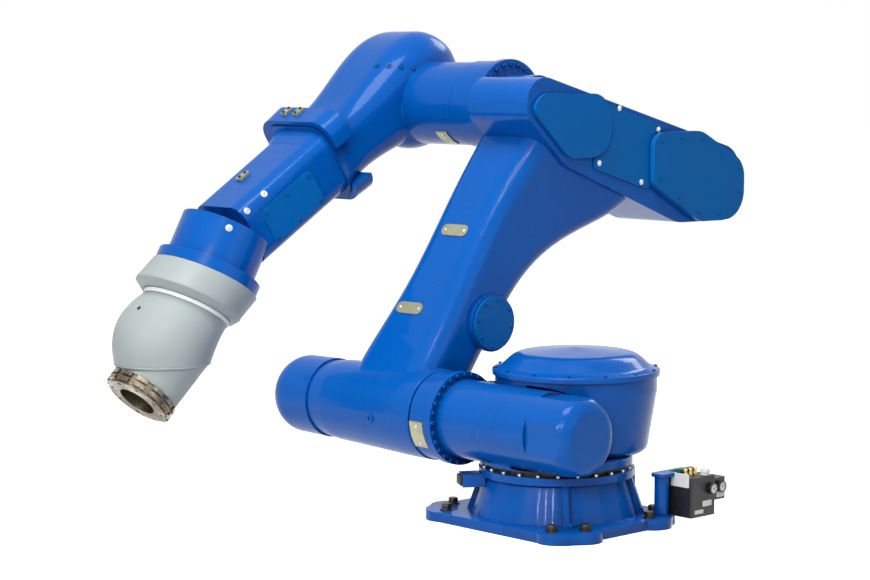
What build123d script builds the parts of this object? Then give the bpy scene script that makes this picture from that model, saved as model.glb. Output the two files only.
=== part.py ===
from build123d import *
from math import acos, atan2, cos, degrees, radians, sin, tan
import os

# Six-axis painting robot: cast arm on a bolted foot, with a hollow three-roll wrist.
# Origin: foot's underside on the swing axis. +X is the robot's front, +Y its left side.

# Base
plate_length = 532.0
plate_width = 464.0
plate_corner = 60.0
plate_offset = 25.0
plate_thickness = 26.0
lug_radius = 57.0
lug_stretch = 56.0
lug_spacing_x = 310.0
lug_spacing_y = 436.0
anchor_step_x = 72.0
anchor_step_y = 50.0
anchor_hole = 22.0
base_height = 144.0
base_flange_radius = 205.0
base_flange_thickness = 20.0
drum_foot_radius = 222.0
drum_top_radius = 190.0
drum_rib_thickness = 16.0
drum_rib_reach = 14.0
cable_box_angle = 180.0
cable_box_width = 120.0
cable_box_depth = 88.0
cable_box_height = 92.0
flange_bolt_count = 24
flange_bolt_circle = 195.0
flange_bolt_head = 5.0
slewing_ring_radius = 185.0
slewing_ring_bore = 140.0
slewing_ring_height = 12.7
stop_angle = -32.0
stop_length = 60.0
stop_width = 56.0
stop_height = 34.0
stop_top = 132.0

# Air set beside the foot
air_x = -218.0
air_y = 272.5
air_floor = 24.0
air_height = 104.0
air_width = 96.0
air_length = 95.0
filter_width = 46.0
filter_length = 46.0
filter_height = 58.0
filter_y = 292.0
filter_floor = 60.0
gauge_height = 94.0
gauge_shift = 30.0
gauge_radius = 15.0
gauge_depth = 12.0
fitting_radius = 8.0
fitting_nut = 14.0
fitting_stem_radius = 5.0
fitting_stem = 12.0
plug_radius = 13.0
plug_height = 16.0
post_radius = 19.0
post_x = -145.0
post_y = 240.0
bracket_thickness = 9.0
bracket_length = 130.0
bracket_width = 46.0

# Gaps
running_gap = 0.3
seam_gap = 5.0

# Swivel head
turntable_radius = 200.0
turntable_thickness = 22.0
head_offset = -72.0
head_radius = 215.0
head_height = 382.0
saddle_height = 318.0
saddle_half = 150.0
cover_radius = 222.0
cover_lip = 14.0
cover_rounding = 44.0
cover_square = 190.0
cover_flat = 138.0
cover_height = 70.0

# Shoulder axis
shoulder_x = 156.0
shoulder_z = 263.0
shoulder_flange_radius = 124.0
shoulder_flange_y = -190.0
shoulder_flange_thickness = 26.0
shoulder_seam_y = -273.0
shoulder_barrel_radius = 104.0
shoulder_barrel_end = 26.0
shoulder_cover_end = 270.0
shoulder_bolt_count = 28
shoulder_bolt_circle = 116.5
shoulder_bolt_radius = 5.5
shoulder_bolt_head = 8.0

# Lower arm
arm_length = 945.0
arm_lean = 30.3
arm_thickness = 190.0
arm_inner_y = -298.0
arm_foot_y = -584.0
arm_middle_y = -520.0
arm_top_y = -486.0
arm_rounding = 58.0
hub_radius = 122.0
hub_end_radius = 106.0
hub_end_y = -710.0
hub_cap_y = -900.0
side_cover_up = 300.0
side_cover_back = 58.0
side_cover_radius = 79.0
side_cover_y = -286.0
arm_plate_length = 100.0
arm_plate_height = 34.0
arm_lower_plate_up = 256.0
arm_lower_plate_y = -452.0
arm_upper_plate_up = 498.0
arm_upper_plate_y = -402.0

# Elbow axis
elbow_flange_radius = 129.0
elbow_flange_y = -498.0
elbow_flange_thickness = 24.0
elbow_seam_y = -618.0
elbow_neck_radius = 84.0
elbow_bolt_count = 24
elbow_bolt_circle = 113.0
elbow_bolt_radius = 6.0
elbow_bolt_head = 8.0

# Elbow head: its outline is drawn from the elbow axis, forward and up
head_face_y = -216.0
head_depth = 230.0
head_front_reach = 217.0
head_rear_reach = 680.0
head_front_top = 101.0
head_rear_top = -141.0
head_rear_low = -345.0
front_cover_thickness = 10.0
middle_cover_thickness = 5.0
rear_cover_thickness = 22.0

# Forearm
forearm_y = -930.0
forearm_rise = 46.0
forearm_pitch = 32.5
forearm_tube_radius = 120.0
forearm_rear_reach = 158.0
forearm_width = 286.0
forearm_depth = 250.0
forearm_step = 415.0
forearm_bridge = 56.0
forearm_front_width = 214.0
forearm_front_depth = 194.0
forearm_front_margin = 88.0
forearm_length = 868.0
forearm_lift = 13.0
forearm_front_lift = 16.0
forearm_side = -38.0
forearm_split = 66.0
saddle_length = 74.0
saddle_edge = 12.0
saddle_open_low = -70.0
saddle_open_high = 60.0

# Wrist
wrist_pitch = 61.0
wrist_drop = 66.0
wrist_shift = 20.0
tool_pitch = 47.0
wrist_ring_radius = 150.0
wrist_ring_thickness = 34.0
collar_radius = 155.0
collar_length = 93.0
collar_skirt = 70.0
collar_edge = 6.0
collar_shift = 26.0
collar_end_radius = 136.0
seal_radius = 127.0
seal_thickness = 12.0
barrel_length = 270.0
barrel_middle_radius = 142.0
barrel_middle_shift = 26.0
barrel_end_radius = 131.0
nose_length = 92.0
nose_end_radius = 96.0
flange_radius = 101.0
flange_thickness = 36.0
flange_groove = 6.0
flange_groove_depth = 7.0
flange_rim = 12.0
flange_lip_radius = 90.0
flange_bore = 54.0
tool_bolt_circle = 78.0
tool_bolt_count = 8
tool_bolt_hole = 10.0
notch_count = 12
notch_width = 16.0
notch_depth = 8.0

os.makedirs("parts", exist_ok=True)

# Worked-out places
up = Vector(0, 0, 1)
down = Vector(0, 0, -1)
left = Vector(0, 1, 0)
right = Vector(0, -1, 0)
front = Vector(1, 0, 0)
turntable_bottom = base_height + slewing_ring_height + running_gap
lean = radians(arm_lean)
arm_up = Vector(-sin(lean), 0, cos(lean))
arm_front = Vector(cos(lean), 0, sin(lean))
elbow_x = shoulder_x - arm_length * sin(lean)
elbow_z = shoulder_z + arm_length * cos(lean)
arm_face_y = shoulder_seam_y - seam_gap
elbow_face_y = elbow_seam_y - seam_gap
pitch = radians(forearm_pitch)
forearm_dir = Vector(cos(pitch), 0, -sin(pitch))
forearm_up = Vector(sin(pitch), 0, cos(pitch))
forearm_start = Vector(elbow_x, forearm_y, elbow_z + forearm_rise)
roll = radians(wrist_pitch)
wrist_dir = Vector(cos(roll), 0, -sin(roll))
wrist_front = Vector(sin(roll), 0, cos(roll))
wrist_start = forearm_start + forearm_dir * forearm_length + wrist_dir * wrist_drop
roll_start = wrist_start + wrist_front * wrist_shift
roll_face = roll_start + wrist_dir * (collar_length + seal_thickness + running_gap)
bend_centre = roll_start + wrist_dir * barrel_length
tool = radians(tool_pitch)
tool_dir = Vector(cos(tool), 0, -sin(tool))
nose_end = bend_centre + tool_dir * nose_length


def facing(origin, direction):
    # plane with its normal along the direction, and X level along Y where it can be
    across = left if abs(direction.Y) < 0.9 else front
    return Plane(origin=origin, x_dir=across, z_dir=direction)


def upright(y):
    # plane square to Y, drawn in (X, Z), whose extrusion goes towards -Y
    return Plane(origin=(0, y, 0), x_dir=front, z_dir=right)


def disc_y(x, z, y_near, y_far, radius):
    # cylinder along Y, from the higher Y to the lower
    return extrude(upright(y_near) * Pos(x, z) * Circle(radius), y_near - y_far)


def outline(points, radii):
    # closed face through the points, each corner rounded by its own radius
    count = len(points)
    corners = []
    for index, point in enumerate(points):
        here = Vector(*point)
        before = (Vector(*points[index - 1]) - here).normalized()
        after = (Vector(*points[(index + 1) % count]) - here).normalized()
        radius = radii[index]
        if radius <= 0:
            corners.append((here, None, here))
            continue
        half = acos(before.dot(after)) / 2
        cut = radius / tan(half)
        middle = (before + after).normalized()
        top = here + middle * (radius / sin(half) - radius)
        corners.append((here + before * cut, top, here + after * cut))
    edges = []
    for index, (start, top, end) in enumerate(corners):
        if top is not None:
            edges.append(ThreePointArc(start, top, end))
        following = corners[(index + 1) % count][0]
        if (following - end).length > 1e-6:
            edges.append(Line(end, following))
    return make_face(edges)


def turned(points, radii, origin, direction):
    # solid of revolution: points are (radius, distance along the direction)
    return facing(origin, direction) * revolve(Plane.XZ * outline(points, radii), Axis.Z)


def ring_of(count, radius, item):
    # copies of an item spaced round local Z
    return [Rot(0, 0, 360.0 / count * index) * Pos(radius, 0, 0) * item for index in range(count)]


def bolt_ring(count, circle, radius, height, origin, direction):
    plane = facing(origin, direction)
    return [plane * item for item in ring_of(count, circle, extrude(Circle(radius), height))]


def largest(shape):
    return shape.solids().sort_by(SortBy.VOLUME)[-1]


def save(name, shape):
    if isinstance(shape, (list, tuple)):
        shape = Compound(children=list(shape))
    export_step(shape, "parts/" + name + ".step")


# Foot plate, drum and bearing


def lug_centres():
    # (x, y, which way the lug slants)
    return [
        (plate_offset + side_x * lug_spacing_x / 2, side_y * lug_spacing_y / 2, side_x * side_y)
        for side_x in (-1, 1)
        for side_y in (-1, 1)
    ]


def anchor_points():
    points = []
    for x, y, slant in lug_centres():
        for end in (-1, 1):
            points.append((x + end * anchor_step_x / 2, y - end * slant * anchor_step_y / 2))
    return points


def make_base_casting():
    lug_angle = degrees(atan2(anchor_step_y, anchor_step_x))
    plate = Pos(plate_offset, 0) * RectangleRounded(plate_width, plate_length, plate_corner)
    for x, y, slant in lug_centres():
        lug = RectangleRounded(2 * lug_radius + lug_stretch, 2 * lug_radius, lug_radius - 6)
        plate += Pos(x, y) * Rot(0, 0, -slant * lug_angle) * lug
    for x, y in anchor_points():
        plate -= Pos(x, y) * Circle(anchor_hole / 2)
    body = extrude(plate, plate_thickness)
    low = plate_thickness - 1
    high = base_height - base_flange_thickness + 1
    body += turned(
        [(0, low), (drum_foot_radius, low), (drum_top_radius, high), (0, high)],
        [0, 0, 0, 0], Vector(0, 0, 0), up)
    body += Pos(0, 0, high - 1) * extrude(Circle(base_flange_radius), base_flange_thickness)
    profile = outline(
        [(drum_top_radius / 2, low), (drum_foot_radius + drum_rib_reach, low),
         (base_flange_radius - 4, high), (drum_top_radius / 2, high)], [0, 0, 0, 0])
    rib = extrude(Plane.XZ.offset(-drum_rib_thickness / 2) * profile, drum_rib_thickness)
    for x, y, slant in lug_centres():
        body += Rot(0, 0, degrees(atan2(y, x))) * rib
    for x, y in anchor_points():
        body -= Pos(x, y, plate_thickness) * extrude(Circle(anchor_hole), base_height)
    return body


base_casting = make_base_casting()
save("base_casting", base_casting)
cable_box = Pos(drum_foot_radius - 24, 0, plate_thickness + cable_box_height / 2) * Box(
    cable_box_depth, cable_box_width, cable_box_height)
save("cable_box", largest(Rot(0, 0, cable_box_angle) * cable_box - base_casting))
save("base_flange_bolts", bolt_ring(
    flange_bolt_count, flange_bolt_circle, flange_bolt_head, 6.0, Vector(0, 0, base_height), up))
slewing = extrude(Circle(slewing_ring_radius) - Circle(slewing_ring_bore), slewing_ring_height)
save("slewing_ring", Pos(0, 0, base_height) * slewing)

# Swing stop on the foot's flange
stop = Pos(base_flange_radius + stop_length / 2 - 8, 0, stop_top - stop_height / 2) * Box(
    stop_length, stop_width, stop_height)
save("stop_block", Rot(0, 0, stop_angle) * stop - base_casting)

# Air set: post, bracket, regulator, filter, gauges, fittings and plug
bracket_z = air_floor + air_height
filter_x = air_x - (air_width + filter_width) / 2
save("conduit_post", Pos(post_x, post_y, plate_thickness) * extrude(
    Circle(post_radius), bracket_z - plate_thickness) - base_casting)
save("air_bracket", Pos((post_x + air_x) / 2 - 5, post_y, bracket_z) * extrude(
    RectangleRounded(bracket_length, bracket_width, 14), bracket_thickness))
save("regulator_block", Pos(air_x, air_y, air_floor) * extrude(
    RectangleRounded(air_width, air_length, 5), air_height) - base_casting)
save("filter_block", Pos(filter_x, filter_y, filter_floor) * extrude(
    RectangleRounded(filter_width, filter_length, 4), filter_height))
gauge = facing(Vector(0, 0, 0), left) * extrude(Circle(gauge_radius), gauge_depth)
save("pressure_gauges", [
    Pos(air_x - gauge_shift, air_y + air_length / 2, gauge_height) * gauge,
    Pos(filter_x, filter_y + filter_length / 2, gauge_height) * gauge,
])
fitting = extrude(RegularPolygon(fitting_radius, 6), fitting_nut)
fitting += Pos(0, 0, fitting_nut) * extrude(Circle(fitting_stem_radius), fitting_stem)
save("air_fittings", [
    Pos(air_x + 32 - 19 * index, air_y + 12, bracket_z) * fitting for index in range(3)
])
save("air_plug", Pos(air_x - 26, air_y + 30, bracket_z) * extrude(Circle(plug_radius), plug_height))

# Swivel head


def make_swivel_casting():
    table = Pos(0, 0, turntable_bottom) * extrude(Circle(turntable_radius), turntable_thickness)
    low = turntable_bottom + turntable_thickness - 1
    saddle = Pos(0, 0, low) * outline(
        [(-100, -saddle_half), (shoulder_x + 58, -saddle_half), (shoulder_x + 58, saddle_half), (-100, saddle_half)],
        [60, 60, 60, 60])
    saddle = extrude(saddle, saddle_height - low)
    drum = turned(
        [(0, low), (head_radius - 27, low), (head_radius, head_height - 40), (head_radius, head_height),
         (0, head_height)], [0, 24, 30, 0, 0], Vector(head_offset, 0, 0), up)
    barrel = disc_y(shoulder_x, shoulder_z, shoulder_barrel_end, shoulder_flange_y - 5, shoulder_barrel_radius)
    flange = disc_y(shoulder_x, shoulder_z, shoulder_flange_y, shoulder_flange_y - shoulder_flange_thickness,
                    shoulder_flange_radius)
    case = disc_y(shoulder_x, shoulder_z, shoulder_flange_y - shoulder_flange_thickness, shoulder_seam_y,
                  shoulder_flange_radius - 5)
    spigot = disc_y(shoulder_x, shoulder_z, shoulder_seam_y, shoulder_seam_y - seam_gap + running_gap,
                    shoulder_flange_radius - 30)
    body = table + saddle + drum
    body -= disc_y(shoulder_x, shoulder_z, shoulder_cover_end + 40, shoulder_barrel_end, shoulder_barrel_radius + 6)
    body -= disc_y(shoulder_x, shoulder_z, shoulder_flange_y + 40, shoulder_flange_y, shoulder_flange_radius + 4)
    return body + barrel + flange + case + spigot


def make_shoulder_motor_cover():
    # round barrel whose end is squared off on four sides
    length = shoulder_cover_end - shoulder_barrel_end
    round_end = turned(
        [(0, 0), (shoulder_barrel_radius, 0), (shoulder_barrel_radius, length), (0, length)],
        [0, 0, cover_rounding, 0], Vector(shoulder_x, shoulder_barrel_end, shoulder_z), left)
    square = upright(shoulder_cover_end) * Pos(shoulder_x, shoulder_z) * RectangleRounded(
        cover_square, cover_square, cover_square / 4)
    root = disc_y(shoulder_x, shoulder_z, shoulder_cover_end - cover_flat, shoulder_barrel_end,
                  shoulder_barrel_radius)
    return root + (round_end & extrude(square, cover_flat))


def hub_plate(centre, radius, angle, width, height):
    # plate bent round a drum about Y, at an angle up from +X
    ring = extrude(Plane(origin=centre, x_dir=front, z_dir=right)
                   * (Circle(radius + 3) - Circle(radius + running_gap)), width)
    reach = Vector(cos(radians(angle)), 0, sin(radians(angle)))
    window = Plane(origin=centre + right * (width / 2), x_dir=left, z_dir=reach)
    return ring & (window * Pos(0, 0, radius) * Box(width, height, radius))


swivel_casting = make_swivel_casting()
save("swivel_casting", swivel_casting)
save("shoulder_flange_bolts", bolt_ring(
    shoulder_bolt_count, shoulder_bolt_circle, shoulder_bolt_radius, shoulder_bolt_head,
    Vector(shoulder_x, shoulder_flange_y, shoulder_z), left))
save("shoulder_motor_cover", make_shoulder_motor_cover())
save("swivel_motor_cover", turned(
    [(0, 0), (cover_radius, 0), (cover_radius, cover_lip), (cover_radius - 24, cover_lip + 8),
     (cover_radius - 62, cover_height - 14), (0, cover_height)],
    [0, 0, 4, 20, 60, 0], Vector(head_offset, 0, head_height), up))
connector = Pos(shoulder_x - 50, -saddle_half + 16, saddle_height + 22) * Box(30, 36, 44)
save("shoulder_connector", largest(connector - swivel_casting))
save("shoulder_index_plate", hub_plate(
    Vector(shoulder_x, shoulder_seam_y + 52, shoulder_z), shoulder_flange_radius - 5, -19, 50, 74))

# Lower arm


def arm_section(distance, ahead, behind, inner_y, outer_y):
    # cross-section of the blade, this far up from the shoulder axis
    shift = (ahead - behind) / 2
    centre = Vector(shoulder_x, (inner_y + outer_y) / 2, shoulder_z) + arm_up * distance + arm_front * shift
    plane = Plane(origin=centre, x_dir=arm_front, z_dir=arm_up)
    return plane * RectangleRounded(ahead + behind, abs(inner_y - outer_y), arm_rounding)


def make_lower_arm():
    reach = arm_face_y - hub_end_y
    hub = turned(
        [(0, 0), (hub_radius, 0), (hub_radius, 70), (hub_end_radius + 6, reach - 60), (hub_end_radius, reach),
         (0, reach)],
        [0, 4, 200, 60, 0, 0], Vector(shoulder_x, arm_face_y, shoulder_z), right)
    half = arm_thickness / 2
    foot = (arm_foot_y + arm_middle_y) / 2
    blade = loft([
        arm_section(0, half + 8, half + 8, arm_inner_y, arm_foot_y),
        arm_section(arm_length * 0.28, half, half + 10, arm_inner_y, foot),
        arm_section(arm_length * 0.51, half, half + 42, arm_inner_y + 6, arm_middle_y),
        arm_section(arm_length * 0.67, half, half + 115, arm_inner_y + 26, arm_middle_y + 12),
        arm_section(arm_length * 0.80, half - 2, half + 205, arm_inner_y + 58, arm_top_y - 8),
        arm_section(arm_length * 0.93, half - 6, half + 240, head_face_y - 6, arm_top_y),
    ])
    boss = disc_y(side_cover_x, side_cover_z, side_cover_y, arm_inner_y - 60, side_cover_radius)
    return hub + blade + boss


def make_elbow_head():
    face = outline(
        [(elbow_x + head_front_reach, elbow_z + head_front_top), (elbow_x - head_rear_reach, elbow_z + head_rear_top),
         (elbow_x - head_rear_reach, elbow_z + head_rear_low), (elbow_x - head_rear_reach + 281, elbow_z + head_rear_low + 4),
         (elbow_x + 63, elbow_z - 164), (elbow_x + head_front_reach, elbow_z - 27)],
        [70, 85, 85, 120, 80, 40])
    body = extrude(upright(head_face_y) * face, head_depth)
    neck = disc_y(elbow_x, elbow_z, head_face_y - head_depth + 60, elbow_flange_y, elbow_neck_radius)
    flange = disc_y(elbow_x, elbow_z, elbow_flange_y, elbow_flange_y - elbow_flange_thickness, elbow_flange_radius)
    case = disc_y(elbow_x, elbow_z, elbow_flange_y - elbow_flange_thickness, elbow_seam_y, elbow_flange_radius - 5)
    spigot = disc_y(elbow_x, elbow_z, elbow_seam_y, elbow_seam_y - seam_gap + running_gap, elbow_flange_radius - 32)
    return body + neck + flange + case + spigot


side_cover_x = shoulder_x - side_cover_up * sin(lean) - side_cover_back * cos(lean)
side_cover_z = shoulder_z + side_cover_up * cos(lean) - side_cover_back * sin(lean)
elbow_head = make_elbow_head()
clear = disc_y(elbow_x, elbow_z, elbow_flange_y + 30, elbow_flange_y - 60, elbow_flange_radius + 3)
lower_arm = largest(make_lower_arm() - elbow_head - clear)
save("lower_arm_casting", lower_arm)
save("elbow_head_casting", elbow_head)
save("hub_end_cap", turned(
    [(0, 0), (hub_end_radius + 5, 0), (hub_end_radius + 2, hub_end_y - hub_cap_y), (0, hub_end_y - hub_cap_y)],
    [0, 0, 84, 0], Vector(shoulder_x, hub_end_y, shoulder_z), right))
save("arm_side_cover", disc_y(side_cover_x, side_cover_z, side_cover_y + 8, side_cover_y, side_cover_radius - 5))
save("elbow_flange_bolts", bolt_ring(
    elbow_bolt_count, elbow_bolt_circle, elbow_bolt_radius, elbow_bolt_head,
    Vector(elbow_x, elbow_flange_y, elbow_z), left))


def arm_plate(distance, y):
    origin = Vector(shoulder_x, y, shoulder_z) + arm_up * distance + arm_front * (arm_thickness / 2 - 1)
    return extrude(facing(origin, arm_front) * SlotOverall(arm_plate_length, arm_plate_height), 4) - lower_arm


save("arm_lower_plate", arm_plate(arm_lower_plate_up, arm_lower_plate_y))
save("arm_upper_plate", arm_plate(arm_upper_plate_up, arm_upper_plate_y))

# Covers on the elbow head, each drawn from the elbow axis


def head_cover(points, radii, thickness):
    face = outline([(elbow_x + x, elbow_z + z) for x, z in points], radii)
    return extrude(upright(head_face_y) * face, -thickness)


front_points = [(209, -4), (161, 37), (-109, 33), (-109, -141), (59, -144)]
front_radii = [28, 50, 75, 75, 70]
rear_points = [(-274, -79), (-479, -77), (-674, -174), (-672, -339), (-479, -341), (-274, -227)]
rear_radii = [45, 100, 70, 85, 60, 25]
save("elbow_front_cover", head_cover(front_points, front_radii, front_cover_thickness))
save("elbow_rear_cover", head_cover(rear_points, rear_radii, rear_cover_thickness))
middle_cover = head_cover(
    [(-51, 17), (-341, -62), (-269, -241), (-41, -174)], [18, 18, 18, 18], middle_cover_thickness)
middle_cover -= offset(head_cover(front_points, front_radii, front_cover_thickness), 3)
middle_cover -= offset(head_cover(rear_points, rear_radii, rear_cover_thickness), 3)
save("elbow_middle_cover", largest(middle_cover))
screw = extrude(Circle(8), 1.5) + Pos(0, 0, 1.5) * extrude(Circle(5), 5)
save("elbow_cover_screws", [
    facing(Vector(elbow_x + x, head_face_y + middle_cover_thickness, elbow_z + z), left) * screw
    for x, z in ((-144, -8), (-309, -71), (-63, -159), (-238, -218))
])

# Forearm


def forearm_section(distance, width, depth, rounding, lift, side):
    # cross-section, this far along from the elbow axis
    origin = forearm_start + forearm_dir * distance + forearm_up * lift + left * side
    return facing(origin, forearm_dir) * RectangleRounded(width, depth, rounding)


def make_forearm():
    lift = forearm_lift
    front_lift = forearm_front_lift
    side = forearm_side
    front_end = forearm_length - forearm_front_margin
    tube = disc_y(elbow_x, elbow_z, elbow_face_y, forearm_y, forearm_tube_radius)
    knuckle = Pos(elbow_x + 14, forearm_y + 20, elbow_z) * Sphere(forearm_tube_radius + 16)
    rear = loft([
        forearm_section(-forearm_rear_reach, forearm_width - 92, forearm_depth - 110, 60, lift - 6, side),
        forearm_section(-forearm_rear_reach + 60, forearm_width - 18, forearm_depth - 10, 84, lift, side),
        forearm_section(forearm_step * 0.29, forearm_width, forearm_depth, 84, lift, side),
        forearm_section(forearm_step, forearm_width - 8, forearm_depth - 8, 64, lift, side),
    ])
    bridge = loft([
        forearm_section(forearm_step - 20, forearm_width - 34, forearm_depth - 34, 56, lift, side),
        forearm_section(forearm_step + forearm_bridge, forearm_front_width, forearm_front_depth, 44, front_lift, -12),
    ])
    beam = loft([
        forearm_section(forearm_step, forearm_front_width, forearm_front_depth, 44, front_lift, -12),
        forearm_section(front_end, forearm_front_width, forearm_front_depth - 6, 44, front_lift, -8),
    ])
    neck_length = wrist_drop + forearm_front_margin
    neck = facing(wrist_start - wrist_dir * neck_length, wrist_dir) * extrude(
        Circle(wrist_ring_radius - 22), neck_length - wrist_ring_thickness)
    return tube + knuckle + rear + bridge + beam + neck


forearm = make_forearm()
behind = facing(forearm_start - forearm_dir * forearm_split, forearm_dir) * Pos(0, 0, -200) * Box(600, 600, 400)
tube_room = disc_y(elbow_x, elbow_z, elbow_face_y, forearm_y + 70, forearm_tube_radius + 1)
motor_cover = largest((forearm & behind) - tube_room)
save("forearm_casting", forearm - motor_cover)
save("forearm_motor_cover", motor_cover)


def make_saddle():
    # strap round the wide part's end, open on the outer side between two heights
    width = forearm_width + 2 * saddle_edge
    depth = forearm_depth + 2 * saddle_edge
    outer = loft([
        forearm_section(forearm_step - saddle_length, width, depth, 60, forearm_lift, forearm_side),
        forearm_section(forearm_step - 6, width - 6, depth - 6, 60, forearm_lift, forearm_side),
    ])
    opening = (saddle_open_low + saddle_open_high) / 2
    side = forearm_start + forearm_dir * forearm_step + forearm_up * opening + left * (forearm_side + width)
    window = facing(side, forearm_dir) * Box(
        2 * width, saddle_open_high - saddle_open_low, 4 * saddle_length)
    return outer - forearm - window


def forearm_block(distance, side, width, length, height, top):
    # small block on the forearm's top
    origin = forearm_start + forearm_dir * distance + forearm_up * top + left * side
    return Plane(origin=origin, x_dir=forearm_dir, z_dir=forearm_up) * extrude(RectangleRounded(length, width, 3), height)


saddle = make_saddle()
save("forearm_saddle", saddle)
save("forearm_end_ring", facing(wrist_start - wrist_dir * wrist_ring_thickness, wrist_dir)
     * extrude(Circle(wrist_ring_radius), wrist_ring_thickness))
save("elbow_index_plate", hub_plate(
    Vector(elbow_x, elbow_face_y - 45, elbow_z), forearm_tube_radius, -56, 44, 64))
vent_top = forearm_lift + forearm_depth / 2 + saddle_edge - 2
save("forearm_vents", [
    forearm_block(forearm_step - 48, side, 22, 34, 9, vent_top) - saddle for side in (-92, -40)
])
save("forearm_top_block", forearm_block(
    640, -32, 24, 40, 9, forearm_front_lift + forearm_front_depth / 2 - 1.5) - forearm)
side_origin = (forearm_start + forearm_dir * 620 + forearm_up * (forearm_front_lift - 10)
               + left * (forearm_front_width / 2 - 13))
side_plane = Plane(origin=side_origin, x_dir=forearm_dir, z_dir=left)
save("forearm_side_cover", side_plane * extrude(RectangleRounded(210, 110, 14), 6) - forearm)

# Wrist
skirt = wrist_start + wrist_front * collar_shift + wrist_dir * collar_skirt
save("wrist_collar", loft([
    facing(wrist_start, wrist_dir) * Circle(wrist_ring_radius + 4),
    facing(skirt, wrist_dir) * Circle(collar_radius),
    facing(skirt + wrist_dir * collar_edge, wrist_dir) * Circle(collar_radius),
    facing(roll_start + wrist_dir * collar_length, wrist_dir) * Circle(collar_end_radius),
], ruled=True))
save("wrist_seal_ring", turned(
    [(0, 0), (seal_radius, 0), (seal_radius, seal_thickness), (0, seal_thickness)],
    [0, 3, 3, 0], roll_start + wrist_dir * collar_length, wrist_dir))


def make_barrel():
    tilt = radians((90 - wrist_pitch) / 2)
    middle_dir = Vector(cos(roll + tilt), 0, -sin(roll + tilt))
    middle = roll_face + (bend_centre - roll_face) * 0.46 + wrist_front * barrel_middle_shift
    return loft([
        facing(roll_face, wrist_dir) * Circle(seal_radius - 4),
        facing(middle, middle_dir) * Circle(barrel_middle_radius),
        facing(bend_centre, down) * Circle(barrel_end_radius),
    ])


save("wrist_barrel", make_barrel())
save("wrist_nose", loft([
    facing(bend_centre + down * running_gap, down) * Circle(barrel_end_radius - 4),
    facing(nose_end, tool_dir) * Circle(nose_end_radius),
]))


def make_tool_flange():
    # two notched rims with a groove between them, round an open bore
    length = flange_thickness - running_gap
    ring = extrude(Circle(flange_lip_radius), length)
    ring += extrude(Circle(flange_radius - flange_groove_depth), 2 * flange_rim + flange_groove)
    for low in (0, flange_rim + flange_groove):
        ring += Pos(0, 0, low) * extrude(Circle(flange_radius), flange_rim)
    notch = extrude(Rectangle(2 * notch_depth, notch_width), 2 * flange_rim + flange_groove)
    for item in ring_of(notch_count, flange_radius, notch):
        ring -= item
    ring -= extrude(Circle(flange_bore), length)
    for hole in ring_of(tool_bolt_count, tool_bolt_circle, Circle(tool_bolt_hole / 2)):
        ring -= extrude(hole, length)
    return facing(nose_end + tool_dir * running_gap, tool_dir) * ring


save("tool_flange", make_tool_flange())
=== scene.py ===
import math

import bmesh
import bpy
from mathutils import Matrix, Vector


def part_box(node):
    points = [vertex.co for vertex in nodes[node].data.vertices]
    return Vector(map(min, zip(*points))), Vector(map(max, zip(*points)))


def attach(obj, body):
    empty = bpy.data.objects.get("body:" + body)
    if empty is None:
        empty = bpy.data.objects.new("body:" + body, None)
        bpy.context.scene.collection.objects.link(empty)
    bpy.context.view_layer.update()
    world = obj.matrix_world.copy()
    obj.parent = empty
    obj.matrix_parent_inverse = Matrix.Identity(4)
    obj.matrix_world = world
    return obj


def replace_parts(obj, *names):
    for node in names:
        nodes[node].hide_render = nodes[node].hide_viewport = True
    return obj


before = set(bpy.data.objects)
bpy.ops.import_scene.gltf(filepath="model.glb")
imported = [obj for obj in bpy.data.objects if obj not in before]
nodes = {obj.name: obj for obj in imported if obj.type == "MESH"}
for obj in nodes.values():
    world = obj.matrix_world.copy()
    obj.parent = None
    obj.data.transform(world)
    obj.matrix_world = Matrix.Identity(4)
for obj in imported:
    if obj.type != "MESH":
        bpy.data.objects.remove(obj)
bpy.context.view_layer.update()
print("frame loaded:", len(nodes), "nodes")


def addObject(name, data):
    holder = bpy.data.objects.new(name, data)
    bpy.context.scene.collection.objects.link(holder)
    return holder


# Camera

camera = {
    "focalPixels": 2300.0,
    "pictureWidth": 870,
    "pictureHeight": 580,
    "horizonRow": 60,
    "place": (4.313, 4.154, 1.205),
    "heading": (-0.682, -0.731),
    "sensorWidth": 36,
    "clipEnd": 200,
}


def cameraAxes():
    heading = Vector((camera["heading"][0], camera["heading"][1], 0)).normalized()
    pitch = math.atan((camera["pictureHeight"] / 2 - camera["horizonRow"]) / camera["focalPixels"])
    forward = heading * math.cos(pitch) - Vector((0, 0, math.sin(pitch)))
    across = forward.cross(Vector((0, 0, 1))).normalized()
    return forward, across, across.cross(forward)


def placeCamera():
    data = bpy.data.cameras.new("photoCamera")
    data.sensor_width = camera["sensorWidth"]
    data.lens = camera["focalPixels"] / camera["pictureWidth"] * data.sensor_width
    data.clip_end = camera["clipEnd"]
    forward, across, upward = cameraAxes()
    turn = Matrix((across, upward, -forward)).transposed().to_4x4()
    holder = addObject("photoCamera", data)
    holder.matrix_world = Matrix.Translation(camera["place"]) @ turn
    bpy.context.scene.camera = holder


placeCamera()
print("camera placed")


# A point of the photograph on a node: where it is, and which way the surface faces there.
def seenAt(node, column, row):
    forward, across, upward = cameraAxes()
    right = (column - camera["pictureWidth"] / 2) / camera["focalPixels"]
    down = (row - camera["pictureHeight"] / 2) / camera["focalPixels"]
    ray = (forward + across * right - upward * down).normalized()
    hit, point, normal = nodes[node].ray_cast(Vector(camera["place"]), ray)[:3]
    if not hit:
        raise ValueError(f"nothing of {node} at {(column, row)}")
    return point, normal


# Mesh helpers

helperSizes = {
    "nearlyParallel": 0.05, "leastCorner": 0.0001, "sharpAngle": 32, "easeShare": 0.3, "easeMost": 0.0006,
}


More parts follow.
